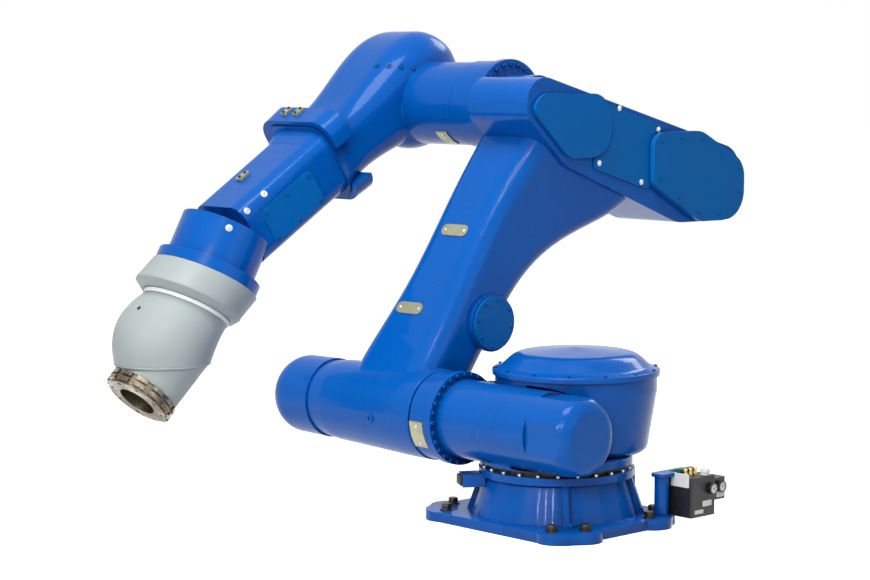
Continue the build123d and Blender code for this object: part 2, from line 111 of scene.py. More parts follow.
# Local Z along the direction, local X as near to across as it gets.
def frameAt(point, direction, across=(0, 1, 0)):
    z = Vector(direction).normalized()
    x = Vector(across) - z * Vector(across).dot(z)
    if x.length < helperSizes["nearlyParallel"]:
        x = Vector((1, 0, 0)) - z * z.x
    x.normalize()
    turn = Matrix((x, z.cross(x), z)).transposed().to_4x4()
    return Matrix.Translation(Vector(point)) @ turn


# Loop of points about local Z. The radius may be a function of the angle.
def addLoop(bm, place, radius, level, steps):
    loop = []
    for step in range(steps):
        angle = math.tau * step / steps
        reach = radius(angle) if callable(radius) else radius
        loop.append(bm.verts.new(place @ Vector((reach * math.cos(angle), reach * math.sin(angle), level))))
    return loop


def bridge(bm, lower, upper):
    for step in range(len(lower)):
        after = (step + 1) % len(lower)
        bm.faces.new((lower[step], lower[after], upper[after], upper[step]))


# Joins a run of loops and closes both ends.
def skin(bm, loops):
    for lower, upper in zip(loops, loops[1:]):
        bridge(bm, lower, upper)
    bm.faces.new(list(reversed(loops[0])))
    bm.faces.new(loops[-1])


# Solid from rings of (radius, level) about local Z.
def addTurned(bm, place, rings, steps=24):
    skin(bm, [addLoop(bm, place, radius, level, steps) for radius, level in rings])


# Flat ring with both rims eased.
def addRing(bm, place, outer, inner, height, steps=32):
    ease = min(height * helperSizes["easeShare"], helperSizes["easeMost"])
    loops = [addLoop(bm, place, radius, level, steps) for radius, level in (
        (inner, 0), (outer, 0), (outer, height - ease), (outer - ease, height), (inner + ease, height),
        (inner, height - ease))]
    for lower, upper in zip(loops, loops[1:] + loops[:1]):
        bridge(bm, lower, upper)


# Rounded block standing on local Z = 0, with a chamfer round its top.
def addBlock(bm, place, size, corner, chamfer, steps=5):
    width, depth, height = size

    def outlineAt(inset, level):
        loop = []
        reach = max(corner - inset, helperSizes["leastCorner"])
        for turn, (sideX, sideY) in enumerate(((1, 1), (-1, 1), (-1, -1), (1, -1))):
            centre = (sideX * (width / 2 - inset - reach), sideY * (depth / 2 - inset - reach))
            for step in range(steps + 1):
                angle = math.pi / 2 * (turn + step / steps)
                loop.append(bm.verts.new(place @ Vector((
                    centre[0] + reach * math.cos(angle), centre[1] + reach * math.sin(angle), level))))
        return loop

    skin(bm, [outlineAt(0, 0), outlineAt(0, height - chamfer), outlineAt(chamfer, height)])


# Tube along a run of points, with its frame carried from one to the next.
def addTube(bm, points, radius, steps=14):
    points = [Vector(point) for point in points]
    loops = []
    side = None
    for index, point in enumerate(points):
        ahead = points[min(index + 1, len(points) - 1)] - points[max(index - 1, 0)]
        ahead.normalize()
        if side is None:
            side = ahead.orthogonal().normalized()
        side = (side - ahead * side.dot(ahead)).normalized()
        other = ahead.cross(side)
        loops.append([bm.verts.new(point + (side * math.cos(math.tau * step / steps)
                                            + other * math.sin(math.tau * step / steps)) * radius)
                      for step in range(steps)])
    skin(bm, loops)


def smoothRun(points, steps=8):
    points = [Vector(point) for point in points]
    ends = [points[0] * 2 - points[1]] + points + [points[-1] * 2 - points[-2]]
    run = []
    for a, b, c, d in zip(ends, ends[1:], ends[2:], ends[3:]):
        for step in range(steps):
            t = step / steps
            run.append(0.5 * (2 * b + (c - a) * t + (2 * a - 5 * b + 4 * c - d) * t * t
                              + (3 * b - a - 3 * c + d) * t ** 3))
    return run + [points[-1]]


# Radius of a hexagon of this width across flats.
def hexagon(flats):
    return lambda angle: flats / 2 / math.cos((angle + math.pi / 6) % (math.pi / 3) - math.pi / 6)


# Rings from rows of (share of the radius, share of the height). A third word makes the row a hexagon.
def scaled(profile, radius, height):
    return [(hexagon(radius * share) if shape else radius * share, height * level)
            for share, level, *shape in profile]


# Cap screw with a hexagon socket
capShape = {"edge": 0.16, "rim": 0.66, "lead": 0.4, "socketFloor": 0.42, "drill": (0.1, 0.3)}


def addCapScrew(bm, place, radius, height):
    socket = hexagon(radius)
    edge = radius * capShape["edge"]
    drillRadius, drillLevel = capShape["drill"]
    addTurned(bm, place, [
        (radius, 0), (radius, height - edge), (radius - edge, height), (radius * capShape["rim"], height),
        (socket, height - edge * capShape["lead"]), (socket, height * capShape["socketFloor"]),
        (radius * drillRadius, height * drillLevel)])


# Screw with a hexagon head on a collar
hexShape = {
    "collarRim": 0.001, "collarEdge": 0.14, "collarTop": 0.2, "shoulder": 0.86, "crown": 0.46, "middle": 0.1,
}


def addHexScrew(bm, place, flats, height):
    body = hexagon(flats)
    collar, collarTop = flats / 2 + hexShape["collarRim"], height * hexShape["collarTop"]
    addTurned(bm, place, [(collar, 0), (collar, height * hexShape["collarEdge"]), (flats / 2, collarTop)])
    addTurned(bm, place, [(body, collarTop), (body, height * hexShape["shoulder"]),
                          (flats * hexShape["crown"], height), (flats * hexShape["middle"], height)])


# Low round head with a small socket
buttonShape = (
    (1, 0), (0.96, 0.35), (0.8, 0.75), (0.56, 1), (0.8, 0.98, "hexagon"), (0.8, 0.45, "hexagon"), (0.08, 0.4))


def addButtonScrew(bm, place, radius, height):
    addTurned(bm, place, scaled(buttonShape, radius, height))


def makePiece(name, bm, finish, body):
    bmesh.ops.recalc_face_normals(bm, faces=bm.faces)
    mesh = bpy.data.meshes.new(name)
    bm.to_mesh(mesh)
    bm.free()
    mesh.shade_smooth()
    mesh.set_sharp_from_angle(angle=math.radians(helperSizes["sharpAngle"]))
    mesh.materials.append(materials[finish])
    piece = addObject(name, mesh)
    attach(piece, body)
    return piece


# Node groups for effects that several finishes share


def startGroup(name, inputs, outputs):
    group = bpy.data.node_groups.new(name, "ShaderNodeTree")
    for label, value in inputs.items():
        kind = "NodeSocketVector" if isinstance(value, tuple) else "NodeSocketFloat"
        group.interface.new_socket(name=label, in_out="INPUT", socket_type=kind).default_value = value
    for label, kind in outputs.items():
        group.interface.new_socket(name=label, in_out="OUTPUT", socket_type=kind)
    return group, group.nodes.new("NodeGroupInput"), group.nodes.new("NodeGroupOutput")


# Links a socket to another node's output, or sets it to a plain value.
def feed(tree, socket, value):
    if isinstance(value, bpy.types.NodeSocket):
        tree.links.new(value, socket)
    else:
        socket.default_value = value


def addNode(tree, kind, inputs=None, **settings):
    node = tree.nodes.new(kind)
    for key, value in settings.items():
        setattr(node, key, value)
    for key, value in (inputs or {}).items():
        feed(tree, node.inputs[key], value)
    return node


def mathNode(tree, operation, first, second, clamp=False):
    return addNode(tree, "ShaderNodeMath", {0: first, 1: second},
                   operation=operation, use_clamp=clamp).outputs[0]


def noiseNode(tree, where, scale, detail=3.0, roughness=0.5):
    return addNode(tree, "ShaderNodeTexNoise", {
        "Vector": where, "Scale": scale, "Detail": detail, "Roughness": roughness}).outputs["Fac"]


def rangeNode(tree, value, low, high, toLow=0.0, toHigh=1.0):
    return addNode(tree, "ShaderNodeMapRange", {
        "Value": value, "From Min": low, "From Max": high, "To Min": toLow, "To Max": toHigh},
        interpolation_type="SMOOTHSTEP").outputs[0]


# Rounded edges for shading, and a mask that is 1 on outer edges
edgeShading = {"radius": 0.003, "samples": 6, "flat": 0.99, "sharp": 0.86}


def makeSoftEdges():
    tree, given, result = startGroup("softEdges", {"Radius": edgeShading["radius"]}, {
        "Normal": "NodeSocketVector", "Edge": "NodeSocketFloat"})
    rounded = addNode(tree, "ShaderNodeBevel", {"Radius": given.outputs["Radius"]},
                      samples=edgeShading["samples"])
    surface = addNode(tree, "ShaderNodeNewGeometry")
    likeness = addNode(tree, "ShaderNodeVectorMath", {
        0: rounded.outputs[0], 1: surface.outputs["Normal"]}, operation="DOT_PRODUCT").outputs["Value"]
    tree.links.new(rounded.outputs[0], result.inputs["Normal"])
    edge = rangeNode(tree, likeness, edgeShading["flat"], edgeShading["sharp"])
    tree.links.new(edge, result.inputs["Edge"])
    return tree


# Paint rubbed through on edges, broken up by grain
rubbing = {"amount": 0.3, "scale": 70.0, "grain": (6.0, 0.62), "patches": (5.0, 2.0),
           "patchRange": (0.42, 0.66), "limit": 0.62, "give": 0.4}


def makeRubbedEdges():
    tree, given, result = startGroup("rubbedEdges", {
        "Edge": 0.0, "Amount": rubbing["amount"], "Scale": rubbing["scale"]}, {"Mask": "NodeSocketFloat"})
    where = addNode(tree, "ShaderNodeTexCoord").outputs["Object"]
    grain = noiseNode(tree, where, given.outputs["Scale"], *rubbing["grain"])
    patches = noiseNode(tree, where, *rubbing["patches"])
    spread = mathNode(tree, "MULTIPLY", grain, rangeNode(tree, patches, *rubbing["patchRange"]))
    give = mathNode(tree, "MULTIPLY", given.outputs["Amount"], rubbing["give"])
    cut = mathNode(tree, "GREATER_THAN", spread, mathNode(tree, "SUBTRACT", rubbing["limit"], give))
    tree.links.new(mathNode(tree, "MULTIPLY", cut, given.outputs["Edge"], clamp=True), result.inputs["Mask"])
    return tree


# Dark dirt and painted shade in inner corners, found by ambient occlusion
soilingAndShade = {"reach": 0.02, "scale": 22.0, "samples": 6, "detail": 4.0, "patchRange": (0.3, 0.7, 0.5, 1.0),
           "closedRange": (0.85, 0.3)}


def makeCornerGrimeAndShade():
    tree, given, result = startGroup("cornerGrimeAndShade", {"Reach": soilingAndShade["reach"], "Scale": soilingAndShade["scale"]}, {
        "Mask": "NodeSocketFloat"})
    where = addNode(tree, "ShaderNodeTexCoord").outputs["Object"]
    closed = addNode(tree, "ShaderNodeAmbientOcclusion", {"Distance": given.outputs["Reach"]},
                     samples=soilingAndShade["samples"], only_local=False).outputs["AO"]
    cloud = noiseNode(tree, where, given.outputs["Scale"], soilingAndShade["detail"])
    patch = rangeNode(tree, cloud, *soilingAndShade["patchRange"])
    corner = rangeNode(tree, closed, *soilingAndShade["closedRange"])
    tree.links.new(mathNode(tree, "MULTIPLY", corner, patch, clamp=True), result.inputs["Mask"])
    return tree


# Fine dust that has settled on what faced up at rest
settling = {"amount": 0.2, "scale": 9.0, "cloud": (6.0, 0.6), "cloudRange": (0.35, 0.75),
            "upRange": (0.55, 1.0)}


def makeSettledDust():
    tree, given, result = startGroup("settledDust", {
        "Amount": settling["amount"], "Scale": settling["scale"]}, {"Mask": "NodeSocketFloat"})
    place = addNode(tree, "ShaderNodeTexCoord")
    height = addNode(tree, "ShaderNodeSeparateXYZ", {0: place.outputs["Normal"]}).outputs["Z"]
    cloud = noiseNode(tree, place.outputs["Object"], given.outputs["Scale"], *settling["cloud"])
    facingUp = rangeNode(tree, height, *settling["upRange"])
    layer = mathNode(tree, "MULTIPLY", facingUp, rangeNode(tree, cloud, *settling["cloudRange"]))
    mask = mathNode(tree, "MULTIPLY", layer, given.outputs["Amount"], clamp=True)
    tree.links.new(mask, result.inputs["Mask"])
    return tree


# Height of a sprayed skin: fine peel over slow waves of the casting below it
spraying = {"peelScale": 260.0, "waveScale": 14.0, "detail": 2.0, "waveHeight": 6.0}


def makeSprayedSkin():
    tree, given, result = startGroup("sprayedSkin", {
        "Peel": 1.0, "Peel Scale": spraying["peelScale"], "Wave": 1.0, "Wave Scale": spraying["waveScale"]}, {
        "Height": "NodeSocketFloat"})
    where = addNode(tree, "ShaderNodeTexCoord").outputs["Object"]
    finer = noiseNode(tree, where, given.outputs["Peel Scale"], spraying["detail"])
    slower = noiseNode(tree, where, given.outputs["Wave Scale"], spraying["detail"])
    peel = mathNode(tree, "MULTIPLY", finer, given.outputs["Peel"])
    wave = mathNode(tree, "MULTIPLY", slower, given.outputs["Wave"])
    raised = mathNode(tree, "MULTIPLY", wave, spraying["waveHeight"])
    tree.links.new(mathNode(tree, "ADD", peel, raised), result.inputs["Height"])
    return tree


# Slow drift of tone over a piece, about 1
drifting = {"amount": 0.1, "scale": 4.0, "slow": (3.0, 0.55), "slowShare": 1.4, "quick": (4.0, 0.6),
            "quickShare": 0.6, "quickScale": 9.0, "cloudRange": (0.75, 1.25)}


def makeToneDrift():
    tree, given, result = startGroup("toneDrift", {
        "Amount": drifting["amount"], "Scale": drifting["scale"]}, {
        "Tone": "NodeSocketFloat", "Cloud": "NodeSocketFloat"})
    where = addNode(tree, "ShaderNodeTexCoord").outputs["Object"]
    slow = noiseNode(tree, where, given.outputs["Scale"], *drifting["slow"])
    quickScale = mathNode(tree, "MULTIPLY", given.outputs["Scale"], drifting["quickScale"])
    quick = noiseNode(tree, where, quickScale, *drifting["quick"])
    slowPart = mathNode(tree, "MULTIPLY", slow, drifting["slowShare"])
    both = mathNode(tree, "ADD", slowPart, mathNode(tree, "MULTIPLY", quick, drifting["quickShare"]))
    swing = mathNode(tree, "MULTIPLY", mathNode(tree, "SUBTRACT", both, 1.0), given.outputs["Amount"])
    tree.links.new(mathNode(tree, "ADD", swing, 1.0), result.inputs["Tone"])
    tree.links.new(rangeNode(tree, both, *drifting["cloudRange"]), result.inputs["Cloud"])
    return tree


# Tool marks drawn out along one direction of the piece
tooling = {"stretch": (900.0, 900.0, 30.0), "grain": (1.0, 4.0, 0.7)}


def makeToolMarks():
    tree, given, result = startGroup("toolMarks", {"Stretch": tooling["stretch"]}, {
        "Height": "NodeSocketFloat"})
    where = addNode(tree, "ShaderNodeTexCoord").outputs["Object"]
    drawn = addNode(tree, "ShaderNodeVectorMath", {0: where, 1: given.outputs["Stretch"]},
                    operation="MULTIPLY").outputs["Vector"]
    tree.links.new(noiseNode(tree, drawn, *tooling["grain"]), result.inputs["Height"])
    return tree


groups = {
    "softEdges": makeSoftEdges(),
    "rubbedEdges": makeRubbedEdges(),
    "cornerGrimeAndShade": makeCornerGrimeAndShade(),
    "settledDust": makeSettledDust(),
    "sprayedSkin": makeSprayedSkin(),
    "toneDrift": makeToneDrift(),
    "toolMarks": makeToolMarks(),
}
print("effect groups made:", ", ".join(groups))

# Finishes


def useGroup(tree, name, **inputs):
    node = tree.nodes.new("ShaderNodeGroup")
    node.node_tree = groups[name]
    for key, value in inputs.items():
        feed(tree, node.inputs[key.replace("_", " ")], value)
    return node


def mixColour(tree, mask, first, second):
    node = addNode(tree, "ShaderNodeMix", data_type="RGBA")
    for socket, value in ((node.inputs[0], mask), (node.inputs[6], first), (node.inputs[7], second)):
        feed(tree, socket, (*value, 1) if isinstance(value, tuple) else value)
    return node.outputs[2]


def tintColour(tree, colour, tone):
    return addNode(tree, "ShaderNodeVectorMath", {0: colour, "Scale": tone},
                   operation="SCALE").outputs["Vector"]


# What a finish has where its own entry is silent
plainLook = {
    "grimeShadeReach": 0.015, "grimeShadeScale": 24.0, "grimeShadeColour": (0.012, 0.011, 0.01), "wearScale": 70.0,
    "dustScale": 9.0, "dustColour": (0.46, 0.47, 0.46), "dustRoughness": 0.5, "peel": 1.0, "wave": 1.0,
    "waveScale": 14.0, "bumpDistance": 0.0006, "metallic": 0.0, "specular": 0.5, "coatIor": 1.4,
}


# Every finish: drifting base colour, grime and painted shade in corners, rubbed edges, dust, and a skin with
# rounded edges.
def makeFinish(name, ownLook):
    look = {**plainLook, **ownLook}
    material = bpy.data.materials.new(name)
    material.use_nodes = True
    tree = material.node_tree
    shader = tree.nodes["Principled BSDF"]
    edges = useGroup(tree, "softEdges", Radius=look["edgeRadius"])
    drift = useGroup(tree, "toneDrift", Amount=look["drift"], Scale=look["driftScale"])
    colour = tintColour(tree, look["colour"], drift.outputs["Tone"])
    if "stain" in look:
        stained = mathNode(tree, "MULTIPLY", drift.outputs["Cloud"], look["stainAmount"])
        colour = mixColour(tree, stained, colour, look["stain"])
    # Corners darkened by ambient occlusion towards a darker colour: dirt, and painted shade
    grimeAndShade = useGroup(tree, "cornerGrimeAndShade", Reach=look["grimeShadeReach"], Scale=look["grimeShadeScale"])
    soiledAndShaded = mathNode(tree, "MULTIPLY", grimeAndShade.outputs["Mask"], look["grimeAndShade"])
    colour = mixColour(tree, soiledAndShaded, colour, look["grimeShadeColour"])
    roughness = rangeNode(tree, drift.outputs["Cloud"], 0, 1, *look["roughness"])
    if "wear" in look:
        rubbed = useGroup(tree, "rubbedEdges", Edge=edges.outputs["Edge"], Amount=look["wear"],
                          Scale=look["wearScale"])
        colour = mixColour(tree, rubbed.outputs["Mask"], colour, look["wearColour"])
    if "dust" in look:
        dust = useGroup(tree, "settledDust", Amount=look["dust"], Scale=look["dustScale"])
        colour = mixColour(tree, dust.outputs["Mask"], colour, look["dustColour"])
        dulled = mathNode(tree, "MULTIPLY", dust.outputs["Mask"], look["dustRoughness"])
        roughness = mathNode(tree, "ADD", roughness, dulled)
    if "marks" in look:
        relief = useGroup(tree, "toolMarks", Stretch=look["marks"])
    else:
        relief = useGroup(tree, "sprayedSkin", Peel=look["peel"], Peel_Scale=look["peelScale"],
                          Wave=look["wave"], Wave_Scale=look["waveScale"])
    bump = addNode(tree, "ShaderNodeBump", {
        "Height": relief.outputs["Height"], "Normal": edges.outputs["Normal"], "Strength": look["bump"],
        "Distance": look["bumpDistance"]})
    tree.links.new(colour, shader.inputs["Base Color"])
    tree.links.new(roughness, shader.inputs["Roughness"])
    tree.links.new(bump.outputs[0], shader.inputs["Normal"])
    shader.inputs["Metallic"].default_value = look["metallic"]
    shader.inputs["Specular IOR Level"].default_value = look["specular"]
    if "coat" in look:
        shader.inputs["Coat Weight"].default_value = look["coat"]
        shader.inputs["Coat Roughness"].default_value = look["coatRoughness"]
        shader.inputs["Coat IOR"].default_value = look["coatIor"]
    return material


finishes = {
    # gloss enamel over castings; its wide dark-blue corner darkening is painted shade in hollows and under
    # the elbow
    "castingBlue": {
        "colour": (0.0003, 0.090, 0.40), "drift": 0.16, "driftScale": 3.0, "roughness": (0.22, 0.32),
        "specular": 0.05, "coat": 0.24, "coatRoughness": 0.03, "edgeRadius": 0.004, "grimeAndShade": 0.8,
        "grimeShadeReach": 0.09, "grimeShadeColour": (0.0008, 0.016, 0.09), "wear": 0.16,
        "wearColour": (0.03, 0.19, 0.52), "dust": 0.015, "bump": 0.32, "bumpDistance": 0.0006, "peel": 0.5,
        "peelScale": 330.0, "wave": 1.0},
    # flat sheet covers, less gloss
    "coverBlue": {
        "colour": (0.0008, 0.118, 0.40), "drift": 0.14, "driftScale": 5.0, "roughness": (0.34, 0.46),
        "specular": 0.1, "edgeRadius": 0.0015, "grimeAndShade": 0.8, "grimeShadeReach": 0.012,
        "grimeShadeColour": (0.001, 0.012, 0.06), "wear": 0.2, "wearColour": (0.04, 0.16, 0.42), "dust": 0.03,
        "bump": 0.2, "peelScale": 420.0, "wave": 0.4},
    # matt grey of the wrist
    "wristGrey": {
        "colour": (0.35, 0.395, 0.395), "drift": 0.10, "driftScale": 5.0, "roughness": (0.42, 0.56),
        "specular": 0.35, "edgeRadius": 0.003, "grimeAndShade": 0.7, "grimeShadeReach": 0.012,
        "grimeShadeColour": (0.09, 0.10, 0.10), "stain": (0.30, 0.34, 0.34), "stainAmount": 0.4, "bump": 0.3,
        "peelScale": 520.0, "wave": 0.3},
    "sealWhite": {
        "colour": (0.84, 0.86, 0.85), "drift": 0.04, "driftScale": 9.0, "roughness": (0.34, 0.46),
        "specular": 0.4, "edgeRadius": 0.0015, "grimeAndShade": 0.35, "grimeShadeReach": 0.006,
        "grimeShadeColour": (0.3, 0.31, 0.31), "bump": 0.12, "peelScale": 300.0, "wave": 0.2},
    # stained steel of the tool flange
    "flangeSteel": {
        "colour": (0.36, 0.31, 0.24), "drift": 0.3, "driftScale": 16.0, "roughness": (0.2, 0.42),
        "metallic": 1.0, "edgeRadius": 0.0012, "grimeAndShade": 0.9, "grimeShadeReach": 0.01,
        "grimeShadeColour": (0.022, 0.017, 0.011), "stain": (0.085, 0.066, 0.042), "stainAmount": 0.85,
        "wear": 0.6, "wearColour": (0.62, 0.58, 0.5), "wearScale": 150.0, "marks": (240.0, 900.0, 240.0),
        "bump": 0.25, "bumpDistance": 0.0003},
    "blackSteel": {
        "colour": (0.028, 0.024, 0.019), "drift": 0.3, "driftScale": 30.0, "roughness": (0.3, 0.5),
        "metallic": 0.7, "edgeRadius": 0.0008, "grimeAndShade": 0.5, "grimeShadeReach": 0.006, "stain": (0.06, 0.04, 0.02),
        "stainAmount": 0.5, "wear": 0.4, "wearColour": (0.22, 0.18, 0.13), "wearScale": 200.0, "bump": 0.2,
        "peelScale": 600.0},
    "zincWhite": {
        "colour": (0.66, 0.67, 0.66), "drift": 0.2, "driftScale": 40.0, "roughness": (0.28, 0.44),
        "metallic": 0.85, "edgeRadius": 0.0006, "grimeAndShade": 0.8, "grimeShadeReach": 0.005,
        "grimeShadeColour": (0.05, 0.05, 0.045), "bump": 0.15, "peelScale": 700.0},
    "zincYellow": {
        "colour": (0.42, 0.41, 0.27), "drift": 0.35, "driftScale": 24.0, "roughness": (0.34, 0.52),
        "metallic": 0.55, "edgeRadius": 0.0008, "grimeAndShade": 0.8, "grimeShadeReach": 0.006,
        "grimeShadeColour": (0.03, 0.028, 0.014), "stain": (0.23, 0.24, 0.15), "stainAmount": 0.6, "wear": 0.3,
        "wearColour": (0.55, 0.55, 0.5), "bump": 0.22, "peelScale": 500.0},
    "blackMoulded": {
        "colour": (0.011, 0.011, 0.012), "drift": 0.25, "driftScale": 20.0, "roughness": (0.34, 0.5),
        "specular": 0.4, "edgeRadius": 0.001, "grimeAndShade": 0.2, "wear": 0.15, "wearColour": (0.05, 0.05, 0.05),
        "dust": 0.06, "bump": 0.3, "peelScale": 900.0, "wave": 0.2},
    "paleMoulded": {
        "colour": (0.70, 0.71, 0.68), "drift": 0.08, "driftScale": 20.0, "roughness": (0.36, 0.5),
        "specular": 0.4, "edgeRadius": 0.0008, "grimeAndShade": 0.7, "grimeShadeReach": 0.006,
        "grimeShadeColour": (0.12, 0.12, 0.1), "bump": 0.15, "peelScale": 800.0, "wave": 0.2},
    "turnedBrass": {
        "colour": (0.64, 0.46, 0.19), "drift": 0.2, "driftScale": 40.0, "roughness": (0.2, 0.36),
        "metallic": 1.0, "edgeRadius": 0.0006, "grimeAndShade": 0.8, "grimeShadeReach": 0.005,
        "grimeShadeColour": (0.06, 0.04, 0.015), "marks": (200.0, 200.0, 1500.0), "bump": 0.15,
        "bumpDistance": 0.0002},
    "greenTube": {
        "colour": (0.03, 0.24, 0.09), "drift": 0.12, "driftScale": 30.0, "roughness": (0.22, 0.3),
        "specular": 0.5, "edgeRadius": 0.0004, "grimeAndShade": 0.3, "grimeShadeReach": 0.004, "bump": 0.08,
        "peelScale": 300.0},
    "blackRubber": {
        "colour": (0.014, 0.014, 0.014), "drift": 0.2, "driftScale": 24.0, "roughness": (0.5, 0.66),
        "specular": 0.35, "edgeRadius": 0.0008, "grimeAndShade": 0.2, "dust": 0.12, "bump": 0.25, "peelScale": 700.0,
        "wave": 0.3},
    "dialFace": {
        "colour": (0.80, 0.81, 0.79), "drift": 0.03, "driftScale": 60.0, "roughness": (0.4, 0.46),
        "specular": 0.4, "edgeRadius": 0.0003, "grimeAndShade": 0.3, "grimeShadeReach": 0.002,
        "grimeShadeColour": (0.4, 0.4, 0.38), "bump": 0.05, "peelScale": 900.0},
    "dialInk": {
        "colour": (0.012, 0.012, 0.013), "drift": 0.1, "driftScale": 60.0, "roughness": (0.4, 0.5),
        "specular": 0.4, "edgeRadius": 0.0002, "grimeAndShade": 0.1, "bump": 0.05, "peelScale": 900.0},
}
materials = {name: makeFinish(name, look) for name, look in finishes.items()}
print("finishes made:", len(materials))

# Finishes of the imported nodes

finishOf = {
    "castingBlue": [
        "base_casting", "cable_box", "conduit_post", "stop_block", "air_bracket", "swivel_casting",
        "swivel_motor_cover", "shoulder_motor_cover", "shoulder_flange_bolts", "lower_arm_casting",
        "elbow_head_casting", "elbow_flange_bolts", "hub_end_cap", "forearm_casting", "forearm_motor_cover",
        "forearm_end_ring", "forearm_saddle"],
    "coverBlue": ["elbow_front_cover", "elbow_middle_cover", "elbow_rear_cover", "arm_side_cover",
                  "forearm_side_cover"],
    "wristGrey": ["wrist_collar", "wrist_barrel", "wrist_nose"],
    "sealWhite": ["wrist_seal_ring"],
    "flangeSteel": ["tool_flange"],
    "blackSteel": ["slewing_ring"],
    "zincYellow": ["shoulder_index_plate", "elbow_index_plate", "arm_lower_plate", "arm_upper_plate",
                   "forearm_vents", "forearm_top_block"],
    "zincWhite": ["base_flange_bolts", "elbow_cover_screws"],
    "blackMoulded": ["regulator_block", "filter_block", "shoulder_connector"],
    "paleMoulded": ["pressure_gauges", "air_plug"],
    "turnedBrass": ["air_fittings"],
}
for finish, members in finishOf.items():
    for member in members:
        for materialSlot in nodes[member].material_slots:
            materialSlot.material = materials[finish]
print("packed nodes finished")

# Stage and light

stageSizes = {
    "floorReach": 30.0, "floorTiles": 8, "floorTone": (0.62, 0.64), "floorCloud": (1.2, 3.0),
    "floorCloudRange": (0.2, 0.8), "floorRoughness": 0.9, "floorSpecular": 0.1, "floorLift": 0.93,
    "fill": 0.12,
}
white = (1, 1, 1, 1)


# 1 for what the camera sees, straight or mirrored, and 0 for light between matt surfaces.
def seenRays(tree):
    path = addNode(tree, "ShaderNodeLightPath").outputs
    indirect = mathNode(tree, "MAXIMUM", path["Is Glossy Ray"], path["Is Transmission Ray"])
    return mathNode(tree, "MAXIMUM", path["Is Camera Ray"], indirect)


def makeFloor():
    bm = bmesh.new()
    bmesh.ops.create_grid(bm, x_segments=stageSizes["floorTiles"], y_segments=stageSizes["floorTiles"],
                          size=stageSizes["floorReach"])
    mesh = bpy.data.meshes.new("floor")
    bm.to_mesh(mesh)
    bm.free()
    floor = addObject("floor", mesh)
    material = bpy.data.materials.new("paleFloor")
    material.use_nodes = True
    tree = material.node_tree
    shader = tree.nodes["Principled BSDF"]
    place = addNode(tree, "ShaderNodeTexCoord").outputs["Object"]
    cloud = noiseNode(tree, place, *stageSizes["floorCloud"])
    tone = rangeNode(tree, cloud, *stageSizes["floorCloudRange"], *stageSizes["floorTone"])
    pale = addNode(tree, "ShaderNodeCombineColor", {0: tone, 1: tone, 2: tone}).outputs[0]
    tree.links.new(pale, shader.inputs["Base Color"])
    shader.inputs["Roughness"].default_value = stageSizes["floorRoughness"]
    shader.inputs["Specular IOR Level"].default_value = stageSizes["floorSpecular"]
    shader.inputs["Emission Color"].default_value = white
    lift = mathNode(tree, "MULTIPLY", seenRays(tree), stageSizes["floorLift"])
    tree.links.new(lift, shader.inputs["Emission Strength"])
    mesh.materials.append(material)


def makeWorld():
    world = bpy.data.worlds.new("studio")
    world.use_nodes = True
    tree = world.node_tree
    sky = tree.nodes["Background"]
    tree.links.new(rangeNode(tree, seenRays(tree), 0, 1, stageSizes["fill"], 1.0), sky.inputs["Strength"])
    sky.inputs["Color"].default_value = white
    bpy.context.scene.world = world


lamps = {
    "overhead": {"place": (1.2, 0.6, 4.6), "aim": (-0.1, -0.4, 0.5), "size": (2.4, 1.8), "power": 150},
    "frontSoft": {"place": (4.6, 0.2, 2.6), "aim": (0, -0.4, 0.7), "size": (1.0, 1.0), "power": 74},
    "stripOne": {"place": (3.6, 2.9, 3.0), "aim": (0, -0.4, 0.7), "size": (0.03, 1.9), "power": 42},
    "stripTwo": {"place": (4.1, 2.2, 3.0), "aim": (0, -0.4, 0.7), "size": (0.03, 1.9), "power": 42},
    "stripThree": {"place": (4.5, 1.4, 3.0), "aim": (0, -0.4, 0.7), "size": (0.03, 1.9), "power": 42},
    "backSoft": {"place": (-4.6, -1.2, 3.6), "aim": (-0.1, -0.4, 0.6), "size": (2.2, 1.8), "power": 90},
    "sideWall": {"place": (-0.6, 5.0, 1.8), "aim": (-0.2, 0, 0.7), "size": (2.6, 2.0), "power": 14},
}


def makeLamp(name, lamp):
    data = bpy.data.lights.new(name, "AREA")
    data.shape = "RECTANGLE"
    data.size, data.size_y = lamp["size"]
    data.energy = lamp["power"]
    away = Vector(lamp["aim"]) - Vector(lamp["place"])
    turn = away.to_track_quat("-Z", "Y").to_matrix().to_4x4()
    addObject(name, data).matrix_world = Matrix.Translation(lamp["place"]) @ turn


makeFloor()
makeWorld()
for name, lamp in lamps.items():
    makeLamp(name, lamp)
bpy.context.scene.view_settings.view_transform = "Standard"
print("stage lit")

# Foot

anchors = {
    "centre": (0.025, 0.0), "lugX": 0.310, "lugY": 0.436, "stepX": 0.072, "stepY": 0.050, "flats": 0.024,
    "head": 0.014, "plateTop": 0.026, "scatter": 90, "washer": 0.0175, "washerTop": 0.0168,
    "washerBore": 0.010, "washerEdge": 0.0025, "washerHeight": 0.003,
}


def anchorPlaces():
    for sideX in (-1, 1):
        for sideY in (-1, 1):
            for end in (-1, 1):
                yield (anchors["centre"][0] + sideX * anchors["lugX"] / 2 + end * anchors["stepX"] / 2,
                       sideY * anchors["lugY"] / 2 - end * sideX * sideY * anchors["stepY"] / 2)


def makeAnchorBolts():
    bm = bmesh.new()
    top = anchors["washerHeight"]
    for x, y in anchorPlaces():
        turn = x * anchors["scatter"]
        place = frameAt((x, y, anchors["plateTop"]), (0, 0, 1), (math.cos(turn), math.sin(turn), 0))
        addTurned(bm, place, [(anchors["washer"], 0), (anchors["washer"], anchors["washerEdge"]),
                              (anchors["washerTop"], top), (anchors["washerBore"], top)], 32)
        addHexScrew(bm, place @ Matrix.Translation((0, 0, top)), anchors["flats"], anchors["head"])
    makePiece("anchorBolts", bm, "blackSteel", "base")


